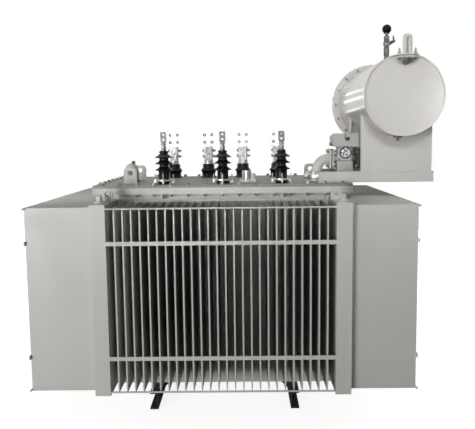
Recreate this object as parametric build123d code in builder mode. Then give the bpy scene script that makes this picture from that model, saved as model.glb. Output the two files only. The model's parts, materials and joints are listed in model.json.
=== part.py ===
from build123d import *
import math
import os

os.makedirs("parts", exist_ok=True)

# Corrugated walls, mm
fin_pitch = 45
fin_count = 26
fin_t = 8
fin_edge_t = 3
fin_press = 28
fin_h = 1005
fin_depth = 350
end_fin_depth = 354
sheet_t = 6

# Bars across the fin tips
flat_h = 22
flat_t = 5
flat_inset = 190
rod_d = 10

# Tank on its two skids
skid_h = 100
skid_flange = 48
skid_web = 6
skid_flange_t = 9
skid_x = 380
skid_reach = 150
gusset_l = 55
gusset_t = 10
gusset_inset = 40
tank_w = 866
chamber_w = 77
chamber_over = 16
fin_rise = 80
rim_clear = 81

# Flange and cover
flange_t = 36
cover_t = 14
overhang = 54
corner_cut = 30
rib_d = 45
rib_t = 8

# Lugs and vent plugs
lug_w = 78
lug_h = 94
lug_t = 16
lug_round = 26
lug_hole_d = 30
lug_hole_rise = 62
lug_x = 560
lug_front_inset = 178
lug_back_inset = 308
eye_r = 28
eye_over = 9
eye_rise = 42
eye_t = 20
eye_hole_d = 25
plug_r = 28
plug_t = 12
plug_hex_r = 17
plug_hex_h = 28
plug_edge = 30
plug_inset = 90

# Pressure relief valve behind the front lug
relief_shift = 12
relief_behind = 125
relief_base_r = 55
relief_base_t = 12
relief_r = 43
relief_h = 74
pin_r = 11
pin_shift = 12
pin_low = 106
pin_h = 25
pin_round = 4

# High-voltage bushings
hv_spacing = 345
hv_inset = 95
hv_base_r = 38
hv_core_r = 33
hv_neck_r = 27
hv_shed_r = 52
hv_shoulder = 18
hv_skirt = 62
shed_pitch = 37
shed_count = 3
shed_rise = 22
shed_lip = 4
hv_cap_r = 27
hv_cap_h = 19
hv_clamp_r = 56
hv_clamp_t = 9
hv_claw_r = 48
hv_claw_w = 12
stud_r = 9
stud_h = 48
nut_r = 15
nut_h = 12
hv_pad_w = 36
hv_pad_h = 60
hv_pad_t = 12
hv_hole_d = 14
hv_hole_gap = 28

# Low-voltage bushings
lv_spacing = 236
lv_inset = 112
lv_h = 94
lv_foot_r = 47
lv_core_r = 42
lv_shed_r = 55
lv_shed_z = 40
lv_lip = 6
collar_r = 34
collar_h = 22
clamp_w = 62
clamp_d = 50
clamp_h = 94
clamp_slot = 4
lv_pad_w = 100
lv_pad_h = 112
lv_pad_t = 12
lv_hole_d = 14
lv_hole_gap = 50

# Tap changer cap
tap_x = 147
tap_inset = 238
tap_base_l = 96
tap_base_w = 80
tap_base_t = 14
tap_cap_r = 28
tap_cap_h = 52
tap_side_l = 46
tap_side_h = 38

# Conservator
cons_x = 1005
cons_rise = 486
cons_r = 224
cons_t = 6
cons_l = 950
cons_overhang = 168
end_disc_t = 8
end_recess = 10
flange_r = 266
ring_t = 14
beam_h = 63
beam_w = 40
beam_t = 6
beam_l = 664
beam_over = 14
support_w = 404
support_t = 10
support_inset = 40
support_pitch = 450

# Breather, filler and drain on the conservator
neck_rise = 175
neck_d = 28
neck_bend = 18
neck_out = 42
neck_flange_l = 118
neck_flange_w = 72
neck_flange_t = 10
goose_d = 25
goose_r = 13
goose_h = 96
filler_r = 18
filler_h = 170
cap_neck_r = 9
cap_neck_h = 7
lever_h = 44
lever_t = 9
lever_w = 22
lever_arm = 42
lever_drop = 36
ball_r = 27.5
ball_collar_r = 18
ball_collar_h = 8
stub_offset = -22
stub_inset = 55
stub_r = 25
stub_h = 9
stub_nut_r = 10
stub_nut_h = 16

# Relay line
pipe_d = 60
pipe_flange_w = 118
pipe_flange_t = 12
pipe_flange_round = 16
pad_d = 166
pad_t = 40
bend_r = 70
riser_x = 572
relay_rise = 133
relay_l = 166
block_l = 90
block_d = 100
block_h = 156
block_drop = 82
block_round = 10
sump_l = 98
sump_h = 69
window_rise = 37
window_r = 30
bezel_r = 36
bezel_t = 10
glass_t = 4
head_l = 160
head_d = 120
head_h = 78
head_cut = 18

# Clearance between curved faces that meet
gap = 0.3

# Levels and places that follow from the sizes above
tank_z = skid_h
tank_h = fin_rise + fin_h + rim_clear
rim_z = tank_z + tank_h
cover_z = rim_z + cover_t
fin_z = tank_z + fin_rise + fin_h / 2
sheet_h = fin_h + 2 * chamber_over
chamber_top = fin_z + sheet_h / 2
front_l = (fin_count + 1) * fin_pitch
body_l = front_l + 2 * chamber_w
tank_l = body_l + 2 * sheet_t
body_w = tank_w - 2 * sheet_t
front_y = -tank_w / 2
back_y = tank_w / 2
chamber_d = fin_depth + flat_t + sheet_t
end_l = tank_w + 2 * (fin_depth + flat_t)
end_fin_count = int(end_l / fin_pitch) - 1
cover_l = tank_l + 2 * overhang
cover_w = tank_w + 2 * overhang
left_reach = tank_l / 2 + end_fin_depth + rod_d
right_reach = cons_x + flange_r
tank_x = -(right_reach - left_reach) / 2
hv_y = front_y + hv_inset
lv_y = back_y - lv_inset
support_y = front_y + support_inset
cons_axis_x = tank_x + cons_x
cons_front = support_y - cons_overhang
cons_z = cover_z + cons_rise
cons_top = cons_z + cons_r
cons_plane = Plane((cons_axis_x, cons_front, cons_z), x_dir=(1, 0, 0), z_dir=(0, 1, 0))
relay_y = support_y + support_pitch / 2
relay_z = cover_z + relay_rise
standing = (Align.CENTER, Align.CENTER, Align.MIN)


def finish(piece, label):
    piece.part.label = label
    export_step(piece.part, f"parts/{label}.step")


def side_plane(dx, dy, facing):
    across = (-facing[1], facing[0], 0)
    return Plane((tank_x + dx, dy, fin_z), x_dir=across, z_dir=(*facing, 0))


# Skid channels, webs inside and flanges outwards
skid_l = tank_w + 2 * skid_reach
for label, way in (("skid_left", -1), ("skid_right", 1)):
    with BuildPart() as skid:
        with BuildSketch(Plane.XZ.offset(-skid_l / 2)):
            with Locations((tank_x + way * (skid_x + skid_flange / 2), skid_h / 2)):
                Rectangle(skid_flange, skid_h)
            with Locations((tank_x + way * (skid_x + skid_web + skid_flange / 2), skid_h / 2)):
                Rectangle(skid_flange, skid_h - 2 * skid_flange_t, mode=Mode.SUBTRACT)
        extrude(amount=skid_l)
    finish(skid, label)

# Gussets between the skid webs and the underside of the tank
with BuildPart() as skid_gussets:
    for way in (-1, 1):
        for y in (front_y + gusset_inset, back_y - gusset_inset):
            with BuildSketch(Plane.XZ.offset(-y - gusset_t / 2)):
                with BuildLine():
                    Polyline(
                        (tank_x + way * skid_x, skid_h),
                        (tank_x + way * (skid_x - gusset_l), skid_h),
                        (tank_x + way * skid_x, skid_h - gusset_l),
                        close=True,
                    )
                make_face()
            extrude(amount=gusset_t)
finish(skid_gussets, "skid_gussets")

# Tank body, a closed housing
with BuildPart() as tank_body:
    with BuildSketch(Plane.XY.offset(tank_z)):
        with Locations((tank_x, 0)):
            Rectangle(body_l, body_w)
    extrude(amount=tank_h)
finish(tank_body, "tank_body")

# Four closed oil chambers that carry the ends of the corrugated end walls
with BuildPart() as corner_chambers:
    with BuildSketch(Plane.XY.offset(chamber_top - sheet_h)):
        with Locations((tank_x, 0)):
            with GridLocations(body_l - chamber_w, body_w + chamber_d, 2, 2):
                Rectangle(chamber_w, chamber_d)
    extrude(amount=sheet_h)
finish(corner_chambers, "corner_chambers")

# Corrugated walls: a sheet with a row of fins pressed flat at top and bottom, and bars across the tips
end_bar_l = end_fin_count * fin_pitch
sides = (
    ("front", side_plane(0, front_y, (0, -1)), fin_count, fin_depth, front_l, front_l),
    ("back", side_plane(0, back_y, (0, 1)), fin_count, fin_depth, front_l, front_l),
    ("left", side_plane(-tank_l / 2, 0, (-1, 0)), end_fin_count, end_fin_depth, end_l, end_bar_l),
    ("right", side_plane(tank_l / 2, 0, (1, 0)), end_fin_count, end_fin_depth, end_l, end_bar_l),
)
with BuildSketch() as fin_face:
    with BuildLine():
        Polyline(
            (0, fin_h / 2),
            (fin_edge_t / 2, fin_h / 2),
            (fin_t / 2, fin_h / 2 - fin_press),
            (fin_t / 2, 0),
            (0, 0),
            close=True,
        )
    make_face()
    mirror(about=Plane.XZ)
    mirror(about=Plane.YZ)

for side, plane, count, depth, width, bar_l in sides:
    with BuildPart() as wall:
        with BuildSketch(plane):
            Rectangle(width, sheet_h)
        extrude(amount=-sheet_t)
        with BuildSketch(plane):
            with GridLocations(fin_pitch, 0, count, 1):
                add(fin_face.sketch)
        extrude(amount=depth)
    finish(wall, f"{side}_corrugated_wall")

    with BuildPart() as bars:
        with BuildSketch(plane.offset(depth)):
            with GridLocations(0, fin_h - 2 * flat_inset, 1, 2):
                Rectangle(bar_l, flat_h)
        extrude(amount=flat_t)
        with BuildSketch(Plane(plane.origin, x_dir=plane.z_dir, z_dir=plane.x_dir)):
            with Locations((depth + rod_d / 2, 0)):
                with GridLocations(0, fin_h - rod_d, 1, 2):
                    Circle(rod_d / 2)
        extrude(amount=bar_l / 2, both=True)
    finish(bars, f"{side}_fin_bars")

# Tank flange around the rim, and the short ribs that hold it up
with BuildPart() as tank_flange:
    with BuildSketch(Plane.XY.offset(rim_z - flange_t)) as rim:
        with Locations((tank_x, 0)):
            Rectangle(cover_l, cover_w)
        chamfer(rim.vertices(), corner_cut)
        with Locations((tank_x, 0)):
            Rectangle(body_l, body_w, mode=Mode.SUBTRACT)
    extrude(amount=flange_t)
finish(tank_flange, "tank_flange")

with BuildPart() as flange_ribs:
    with BuildSketch(Plane.XY.offset(chamber_top)):
        with Locations((tank_x, 0)):
            with GridLocations(2 * hv_spacing, body_w + rib_d, 2, 2):
                Rectangle(rib_t, rib_d)
    extrude(amount=rim_z - flange_t - chamber_top)
finish(flange_ribs, "flange_ribs")

with BuildPart() as cover_plate:
    with BuildSketch(Plane.XY.offset(rim_z)) as lid:
        with Locations((tank_x, 0)):
            Rectangle(cover_l, cover_w)
        chamfer(lid.vertices(), corner_cut)
    extrude(amount=cover_t)
finish(cover_plate, "cover_plate")

# Lifting lugs on the cover, plates that face the front; the relay line takes the place of a fourth
lug_places = (
    (-lug_x, front_y + lug_front_inset),
    (-lug_x, back_y - lug_back_inset),
    (lug_x, back_y - lug_back_inset),
)
with BuildPart() as cover_lugs:
    for x, y in lug_places:
        with BuildSketch(Plane.XZ.offset(-y - lug_t / 2)) as lug:
            with Locations((tank_x + x, cover_z + lug_h / 2)):
                Rectangle(lug_w, lug_h)
            fillet(lug.vertices().sort_by(Axis.Y)[-2:], lug_round)
            with Locations((tank_x + x, cover_z + lug_hole_rise)):
                Circle(lug_hole_d / 2, mode=Mode.SUBTRACT)
        extrude(amount=lug_t)
finish(cover_lugs, "cover_lugs")

# Pressure relief valve: a domed cover with a pin let into it
relief_x = tank_x - lug_x - relief_shift
relief_y = front_y + lug_front_inset + relief_behind
pin_z = cover_z + pin_low
pin_x = relief_x + pin_shift
with BuildPart() as relief_valve:
    with BuildSketch(Plane.XY.offset(cover_z)):
        with Locations((relief_x, relief_y)):
            Circle(relief_base_r)
    extrude(amount=relief_base_t)
    with BuildSketch(Plane.XY.offset(cover_z)):
        with Locations((relief_x, relief_y)):
            Circle(relief_r)
    extrude(amount=relief_h)
    with Locations((relief_x, relief_y, cover_z + relief_h)):
        Sphere(relief_r)
    with BuildSketch(Plane.XY.offset(pin_z)):
        with Locations((pin_x, relief_y)):
            Circle(pin_r + gap)
    extrude(amount=pin_h, mode=Mode.SUBTRACT)
finish(relief_valve, "relief_valve")

with BuildPart() as relief_pin:
    with BuildSketch(Plane.XY.offset(pin_z)):
        with Locations((pin_x, relief_y)):
            Circle(pin_r)
    extrude(amount=pin_h)
    fillet(relief_pin.edges().sort_by(Axis.Z)[-1:], pin_round)
finish(relief_pin, "relief_pin")

# Lugs for the whole unit on the four corner chambers, and the vent plugs beside them
eye_x = front_l / 2 + eye_r - eye_over
eye_y = back_y + fin_depth / 2
with BuildPart() as tank_lugs:
    for y in (-eye_y, eye_y):
        with BuildSketch(Plane.XZ.offset(-y - eye_t / 2)):
            with Locations((tank_x, chamber_top + eye_rise / 2)):
                with GridLocations(2 * eye_x, 0, 2, 1):
                    Rectangle(2 * eye_r, eye_rise)
            with Locations((tank_x, chamber_top + eye_rise)):
                with GridLocations(2 * eye_x, 0, 2, 1):
                    Circle(eye_r)
                    Circle(eye_hole_d / 2, mode=Mode.SUBTRACT)
        extrude(amount=eye_t)
finish(tank_lugs, "tank_lugs")

plug_x = body_l / 2 - plug_edge
plug_y = back_y + fin_depth - plug_inset
with BuildPart() as vent_plugs:
    with BuildSketch(Plane.XY.offset(chamber_top)):
        with Locations((tank_x, 0)):
            with GridLocations(2 * plug_x, 2 * plug_y, 2, 2):
                Circle(plug_r)
    extrude(amount=plug_t)
    with BuildSketch(Plane.XY.offset(chamber_top + plug_t)):
        with Locations((tank_x, 0)):
            with GridLocations(2 * plug_x, 2 * plug_y, 2, 2):
                RegularPolygon(plug_hex_r, 6)
    extrude(amount=plug_hex_h)
finish(vent_plugs, "vent_plugs")

# High-voltage bushings, turned porcelain with drooping sheds under a small cap
hv_first_shed = hv_shoulder + hv_skirt
hv_neck_top = hv_first_shed + (shed_count - 1) * shed_pitch + shed_rise
hv_top = hv_neck_top + hv_cap_h
with BuildPart() as hv_bushings:
    for k in (-1, 0, 1):
        x = tank_x + k * hv_spacing
        with BuildSketch(Plane((x, hv_y, cover_z), x_dir=(1, 0, 0), z_dir=(0, -1, 0))):
            with BuildLine():
                outline = [(0, 0), (hv_base_r, 0), (hv_base_r, hv_shoulder), (hv_core_r, hv_shoulder)]
                under_r = hv_core_r
                for shed in range(shed_count):
                    z = hv_first_shed + shed * shed_pitch
                    outline.append((under_r, z))
                    outline.append((hv_shed_r, z))
                    outline.append((hv_shed_r, z + shed_lip))
                    outline.append((hv_neck_r, z + shed_rise))
                    under_r = hv_neck_r
                outline.append((hv_cap_r - shed_lip, hv_neck_top))
                outline.append((hv_cap_r - shed_lip, hv_neck_top + shed_lip))
                outline.append((hv_cap_r, hv_neck_top + shed_lip))
                outline.append((hv_cap_r, hv_top - shed_lip))
                outline.append((hv_cap_r - 2 * shed_lip, hv_top))
                outline.append((0, hv_top))
                Polyline(*outline, close=True)
            make_face()
        revolve(axis=Axis((x, hv_y, 0), (0, 0, 1)))
finish(hv_bushings, "hv_bushings")

# Clamp ring on the shoulder of each one, with four claws down to the cover
with BuildPart() as hv_clamps:
    with BuildSketch(Plane.XY.offset(cover_z + hv_shoulder)):
        with Locations((tank_x, hv_y)):
            with GridLocations(hv_spacing, 0, 3, 1):
                RegularPolygon(hv_clamp_r, 8, rotation=22.5)
                Circle(hv_core_r + gap, mode=Mode.SUBTRACT)
    extrude(amount=hv_clamp_t)
    with BuildSketch(Plane.XY.offset(cover_z)):
        with Locations((tank_x, hv_y)):
            with GridLocations(hv_spacing, 0, 3, 1):
                with PolarLocations(hv_claw_r, 4, start_angle=45):
                    Rectangle(hv_claw_w, hv_claw_w)
    extrude(amount=hv_shoulder)
finish(hv_clamps, "hv_clamps")

hv_pad_z = cover_z + hv_top + stud_h
with BuildPart() as hv_terminals:
    with Locations((tank_x, hv_y, cover_z + hv_top)):
        with GridLocations(hv_spacing, 0, 3, 1):
            Cylinder(nut_r, nut_h, align=standing)
            Cylinder(stud_r, stud_h, align=standing)
    with BuildSketch(Plane.XZ.offset(-hv_y - hv_pad_t / 2)):
        with Locations((tank_x, hv_pad_z + hv_pad_h / 2)):
            with GridLocations(hv_spacing, 0, 3, 1):
                Rectangle(hv_pad_w, hv_pad_h)
            with GridLocations(hv_spacing, hv_hole_gap, 3, 2):
                Circle(hv_hole_d / 2, mode=Mode.SUBTRACT)
    extrude(amount=hv_pad_t)
finish(hv_terminals, "hv_terminals")

# Low-voltage bushings, with a split clamp and a four-hole pad on each
with BuildPart() as lv_bushings:
    for k in (-1.5, -0.5, 0.5, 1.5):
        x = tank_x + k * lv_spacing
        with BuildSketch(Plane((x, lv_y, cover_z), x_dir=(1, 0, 0), z_dir=(0, -1, 0))):
            with BuildLine():
                Polyline(
                    (0, 0),
                    (lv_shed_r, 0),
                    (lv_shed_r, lv_lip),
                    (lv_foot_r, 2 * lv_lip),
                    (lv_foot_r, lv_shed_z),
                    (lv_shed_r, lv_shed_z + lv_lip),
                    (lv_shed_r, lv_shed_z + 2 * lv_lip),
                    (lv_core_r, lv_shed_z + 4 * lv_lip),
                    (lv_core_r, lv_h),
                    (0, lv_h),
                    close=True,
                )
            make_face()
        revolve(axis=Axis((x, lv_y, 0), (0, 0, 1)))
finish(lv_bushings, "lv_bushings")

clamp_z = cover_z + lv_h + collar_h
lv_pad_z = clamp_z + clamp_h
with BuildPart() as lv_terminals:
    with BuildSketch(Plane.XY.offset(cover_z + lv_h)):
        with Locations((tank_x, lv_y)):
            with GridLocations(lv_spacing, 0, 4, 1):
                Circle(collar_r)
    extrude(amount=collar_h)
    with BuildSketch(Plane.XY.offset(clamp_z)):
        with Locations((tank_x, lv_y)):
            with GridLocations(lv_spacing, 0, 4, 1):
                RectangleRounded(clamp_w, clamp_d, clamp_d / 5)
        with Locations((tank_x + clamp_w / 4, lv_y)):
            with GridLocations(lv_spacing, 0, 4, 1):
                Rectangle(clamp_slot, clamp_d, mode=Mode.SUBTRACT)
    extrude(amount=clamp_h)
    with BuildSketch(Plane.XZ.offset(-lv_y - lv_pad_t / 2)):
        with Locations((tank_x, lv_pad_z + lv_pad_h / 2)):
            with GridLocations(lv_spacing, 0, 4, 1):
                Rectangle(lv_pad_w, lv_pad_h)
            for way in (-1, 1):
                with Locations((way * lv_hole_gap / 2, 0)):
                    with GridLocations(lv_spacing, lv_hole_gap, 4, 2):
                        Circle(lv_hole_d / 2, mode=Mode.SUBTRACT)
    extrude(amount=lv_pad_t)
finish(lv_terminals, "lv_terminals")

# Cap of the tap changer on the cover
tap_y = front_y + tap_inset
cap_x = tank_x + tap_x - tap_base_l / 2 + tap_cap_r + tap_base_t
with BuildPart() as tap_changer_cap:
    with Locations((tank_x + tap_x, tap_y, cover_z)):
        Box(tap_base_l, tap_base_w, tap_base_t, align=standing)
    with Locations((cap_x, tap_y, cover_z + tap_base_t)):
        Cylinder(tap_cap_r, tap_cap_h, align=standing)
    with Locations((cap_x + tap_side_l / 2, tap_y, cover_z + tap_base_t)):
        Box(tap_side_l, tap_cap_r, tap_side_h, align=standing)
finish(tap_changer_cap, "tap_changer_cap")

# Conservator: an open shell, its rear flange and its two ends
with BuildPart() as conservator_shell:
    with BuildSketch(cons_plane):
        Circle(cons_r)
        Circle(cons_r - cons_t, mode=Mode.SUBTRACT)
    extrude(amount=cons_l)
finish(conservator_shell, "conservator_shell")

with BuildPart() as conservator_rear_flange:
    with BuildSketch(cons_plane.offset(cons_l - ring_t)):
        Circle(flange_r)
        Circle(cons_r + gap, mode=Mode.SUBTRACT)
    extrude(amount=ring_t)
finish(conservator_rear_flange, "conservator_rear_flange")

with BuildPart() as conservator_front_end:
    with BuildSketch(cons_plane.offset(end_recess)):
        Circle(cons_r - cons_t - gap)
    extrude(amount=end_disc_t)
finish(conservator_front_end, "conservator_front_end")

with BuildPart() as conservator_rear_cover:
    with BuildSketch(cons_plane.offset(cons_l)):
        Circle(flange_r)
    extrude(amount=ring_t)
finish(conservator_rear_cover, "conservator_rear_cover")

# Support beams on the cover, channels with the web to the outside, and the saddle plates on them
beam_x = cons_axis_x + support_w / 2 + beam_over - beam_l
saddle_z = cons_z - math.sqrt(cons_r**2 - support_w**2 / 4)
for label, y, way in (("front", support_y, 1), ("rear", support_y + support_pitch, -1)):
    with BuildPart() as beam:
        with BuildSketch(Plane.YZ.offset(beam_x)):
            with Locations((y + way * beam_w / 2, cover_z + beam_h / 2)):
                Rectangle(beam_w, beam_h)
            with Locations((y + way * (beam_w / 2 + beam_t), cover_z + beam_h / 2)):
                Rectangle(beam_w, beam_h - 2 * beam_t, mode=Mode.SUBTRACT)
        extrude(amount=beam_l)
    finish(beam, f"support_beam_{label}")

    with BuildPart() as support:
        with BuildSketch(Plane.XY.offset(cover_z + beam_h)):
            with Locations((cons_axis_x, y + way * beam_w / 2)):
                Rectangle(support_w, beam_w)
            with Locations((cons_axis_x, y + way * (beam_w / 2 + support_t))):
                Rectangle(support_w - 2 * support_t, beam_w, mode=Mode.SUBTRACT)
        extrude(amount=saddle_z - cover_z - beam_h)
        with BuildSketch(cons_plane):
            Circle(cons_r + gap)
        extrude(amount=cons_l, mode=Mode.SUBTRACT)
    finish(support, f"conservator_support_{label}")

# Breather: a bent neck out of the front end, a pair of two-bolt flanges and a gooseneck
disc_y = cons_front + end_recess
neck_y = cons_front - neck_out
neck_z = cons_z + neck_rise
neck_top = neck_z + neck_bend
goose_z = neck_top + 2 * neck_flange_t
goose_bend_z = goose_z + goose_h - goose_r
with BuildPart() as breather_pipe:
    with BuildLine():
        out = Line((cons_axis_x, disc_y, neck_z), (cons_axis_x, neck_y + neck_bend, neck_z))
        TangentArc(out @ 1, (cons_axis_x, neck_y, neck_top), tangent=(0, -1, 0))
    with BuildSketch(Plane(out @ 0, z_dir=(0, -1, 0))):
        Circle(neck_d / 2)
    sweep()
    with BuildSketch(Plane.XY.offset(neck_top)):
        with Locations((cons_axis_x, neck_y)):
            SlotOverall(neck_flange_l, neck_flange_w)
    extrude(amount=2 * neck_flange_t)
    with BuildLine():
        left = cons_axis_x - goose_r
        right = cons_axis_x + goose_r
        up = Line((left, neck_y, goose_z), (left, neck_y, goose_bend_z))
        bend = ThreePointArc(
            up @ 1,
            (cons_axis_x, neck_y, goose_bend_z + goose_r),
            (right, neck_y, goose_bend_z),
        )
        Line(bend @ 1, (right, neck_y, goose_z))
    with BuildSketch(Plane(up @ 0, z_dir=(0, 0, 1))):
        Circle(goose_d / 2)
    sweep()
finish(breather_pipe, "breather_pipe")

# Filler valve at mid-length with a small lever, and its round cap on a thin neck
filler_y = cons_front + cons_l / 2
filler_top = cons_top + filler_h
cap_z = filler_top + cap_neck_h
with BuildPart() as filler_valve:
    with BuildSketch(Plane.XY.offset(cons_z)):
        with Locations((cons_axis_x, filler_y)):
            Circle(filler_r)
    extrude(amount=cons_r + filler_h)
    with BuildSketch(cons_plane):
        Circle(cons_r + gap)
    extrude(amount=cons_l, mode=Mode.SUBTRACT)
    with BuildSketch(Plane.XY.offset(filler_top)):
        with Locations((cons_axis_x, filler_y)):
            Circle(cap_neck_r)
    extrude(amount=cap_neck_h)
    with Locations((cons_axis_x + lever_arm / 2, filler_y, filler_top - lever_drop)):
        Box(lever_arm, lever_t, lever_t)
    with Locations((cons_axis_x + lever_arm, filler_y, filler_top - lever_drop + lever_h / 4)):
        Box(lever_t, lever_w, lever_h)
finish(filler_valve, "filler_valve")

with BuildPart() as filler_cap:
    with BuildSketch(Plane.XY.offset(cap_z)):
        with Locations((cons_axis_x, filler_y)):
            Circle(ball_collar_r)
    extrude(amount=ball_collar_h)
    with Locations((cons_axis_x, filler_y, cap_z + ball_r)):
        Sphere(ball_r)
finish(filler_cap, "filler_cap")

# Drain stub under the front of the conservator
stub_x = cons_axis_x + stub_offset
stub_y = cons_front + stub_inset
stub_z = cons_z - cons_r - stub_h
with BuildPart() as drain_stub:
    with BuildSketch(Plane.XY.offset(stub_z)):
        with Locations((stub_x, stub_y)):
            Circle(stub_r)
    extrude(amount=stub_h + stub_r)
    with BuildSketch(cons_plane):
        Circle(cons_r + gap)
    extrude(amount=cons_l, mode=Mode.SUBTRACT)
    with BuildSketch(Plane.XY.offset(stub_z - stub_nut_h)):
        with Locations((stub_x, stub_y)):
            RegularPolygon(stub_nut_r, 6)
    extrude(amount=stub_nut_h)
finish(drain_stub, "drain_stub")

# Elbow from the cover to the relay
riser = tank_x + riser_x
relay_start = riser + bend_r + pipe_flange_t
relay_end = relay_start + relay_l
with BuildPart() as elbow_pipe:
    with BuildLine():
        up = Line((riser, relay_y, cover_z), (riser, relay_y, relay_z - bend_r))
        TangentArc(up @ 1, (riser + bend_r, relay_y, relay_z), tangent=(0, 0, 1))
    with BuildSketch(Plane.XY.offset(cover_z)):
        with Locations((riser, relay_y)):
            Circle(pipe_d / 2)
    sweep()
    with BuildSketch(Plane.XY.offset(cover_z)):
        with Locations((riser, relay_y)):
            Circle(pad_d / 2)
    extrude(amount=pad_t)
    with BuildSketch(Plane.YZ.offset(riser + bend_r)):
        with Locations((relay_y, relay_z)):
            RectangleRounded(pipe_flange_w, pipe_flange_w, pipe_flange_round)
    extrude(amount=pipe_flange_t)
finish(elbow_pipe, "elbow_pipe")

# Relay with its flanges, sight glass and terminal head
relay_x = relay_start + relay_l / 2
block_z = relay_z - block_drop
face_y = relay_y - block_d / 2
with BuildPart() as relay_body:
    for x in (relay_start, relay_end - pipe_flange_t):
        with BuildSketch(Plane.YZ.offset(x)):
            with Locations((relay_y, relay_z)):
                RectangleRounded(pipe_flange_w, pipe_flange_w, pipe_flange_round)
        extrude(amount=pipe_flange_t)
    with BuildSketch(Plane.YZ.offset(relay_start)):
        with Locations((relay_y, relay_z)):
            Circle(pipe_d / 2)
    extrude(amount=relay_l)
    with BuildSketch(Plane.XY.offset(block_z)):
        with Locations((relay_x, relay_y)):
            RectangleRounded(block_l, block_d, block_round)
    extrude(amount=block_h)
    with BuildSketch(Plane.XY.offset(block_z)):
        with Locations((relay_x, relay_y)):
            RectangleRounded(sump_l, block_d, block_round)
    extrude(amount=sump_h)
    with BuildSketch(Plane.XZ.offset(-face_y)):
        with Locations((relay_x, relay_z + window_rise)):
            Circle(bezel_r)
    extrude(amount=bezel_t)
    with BuildSketch(Plane.XZ.offset(-face_y + bezel_t - glass_t)):
        with Locations((relay_x, relay_z + window_rise)):
            Circle(window_r + gap)
    extrude(amount=glass_t, mode=Mode.SUBTRACT)
finish(relay_body, "relay_body")

with BuildPart() as relay_window:
    with BuildSketch(Plane.XZ.offset(-face_y + bezel_t - glass_t)):
        with Locations((relay_x, relay_z + window_rise)):
            Circle(window_r)
    extrude(amount=glass_t / 2)
finish(relay_window, "relay_window")

with BuildPart() as relay_head:
    with BuildSketch(Plane.XZ.offset(-relay_y - head_d / 2)) as head:
        with Locations((relay_x, block_z + block_h + head_h / 2)):
            Rectangle(head_l, head_h)
        chamfer(head.vertices().sort_by(Axis.X)[:2], head_cut)
    extrude(amount=head_d)
finish(relay_head, "relay_head")

# Outlet pipe from the relay up into the conservator
with BuildPart() as outlet_pipe:
    with BuildLine():
        along = Line((relay_end, relay_y, relay_z), (cons_axis_x - bend_r, relay_y, relay_z))
        turn = TangentArc(along @ 1, (cons_axis_x, relay_y, relay_z + bend_r), tangent=(1, 0, 0))
        Line(turn @ 1, (cons_axis_x, relay_y, cons_z - cons_r + pipe_d / 2))
    with BuildSketch(Plane.YZ.offset(relay_end)):
        with Locations((relay_y, relay_z)):
            Circle(pipe_d / 2)
    sweep()
    with BuildSketch(Plane.YZ.offset(relay_end)):
        with Locations((relay_y, relay_z)):
            RectangleRounded(pipe_flange_w, pipe_flange_w, pipe_flange_round)
    extrude(amount=pipe_flange_t)
    with BuildSketch(cons_plane):
        Circle(cons_r + gap)
    extrude(amount=cons_l, mode=Mode.SUBTRACT)
finish(outlet_pipe, "outlet_pipe")
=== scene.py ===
import json
import math

import bmesh
import bpy
from mathutils import Matrix, Vector


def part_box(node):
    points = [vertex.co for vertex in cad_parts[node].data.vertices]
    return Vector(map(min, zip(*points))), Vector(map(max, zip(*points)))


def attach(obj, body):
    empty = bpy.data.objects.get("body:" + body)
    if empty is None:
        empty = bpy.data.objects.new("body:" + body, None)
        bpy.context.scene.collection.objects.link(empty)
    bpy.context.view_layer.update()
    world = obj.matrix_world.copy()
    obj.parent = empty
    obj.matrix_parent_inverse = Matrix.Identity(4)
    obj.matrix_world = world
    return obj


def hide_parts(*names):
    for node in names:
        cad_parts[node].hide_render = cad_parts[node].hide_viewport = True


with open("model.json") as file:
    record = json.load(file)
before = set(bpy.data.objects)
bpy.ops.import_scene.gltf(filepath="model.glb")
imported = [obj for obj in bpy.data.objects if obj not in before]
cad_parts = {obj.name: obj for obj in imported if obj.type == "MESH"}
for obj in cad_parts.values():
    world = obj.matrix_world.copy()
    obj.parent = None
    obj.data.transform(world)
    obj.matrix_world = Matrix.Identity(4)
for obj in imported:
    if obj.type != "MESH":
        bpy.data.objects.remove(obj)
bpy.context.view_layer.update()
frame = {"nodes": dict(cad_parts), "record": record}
nodes = frame["nodes"]
scene = bpy.context.scene
scene.view_settings.view_transform = "Standard"
print("frame loaded,", len(nodes), "nodes")


# camera at the photograph's viewpoint; the image is 475 wide
shot = {
    "place": (0.01705, -4.1399, 1.5271),
    "pitch": 6.50,  # degrees down
    "yaw": -0.63,
    "roll": 0.66,
    "focal": 645.9,  # in image pixels
    "imageWide": 475,
    "sensor": 36.0,
}


def makeCamera(spec):
    pitch, yaw, roll = (math.radians(spec[k]) for k in ("pitch", "yaw", "roll"))
    ahead = Vector((math.sin(yaw) * math.cos(pitch), math.cos(yaw) * math.cos(pitch), -math.sin(pitch)))
    level = Vector((math.cos(yaw), -math.sin(yaw), 0.0))
    drop = ahead.cross(level)
    across = level * math.cos(roll) + drop * math.sin(roll)
    down = drop * math.cos(roll) - level * math.sin(roll)
    turn = Matrix((across, -down, -ahead)).transposed().to_4x4()
    lens = bpy.data.cameras.new("photoCamera")
    lens.sensor_fit = "HORIZONTAL"
    lens.sensor_width = spec["sensor"]
    lens.lens = spec["focal"] * spec["sensor"] / spec["imageWide"]
    lens.clip_end = 100
    holder = bpy.data.objects.new("photoCamera", lens)
    scene.collection.objects.link(holder)
    holder.matrix_world = Matrix.Translation(spec["place"]) @ turn
    scene.camera = holder


makeCamera(shot)
print("camera set")


# node helpers
def putNode(tree, kind, **values):
    node = tree.nodes.new(kind)
    for key, value in values.items():
        if hasattr(node, key):
            setattr(node, key, value)
        else:
            node.inputs[key].default_value = value
    return node


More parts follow.
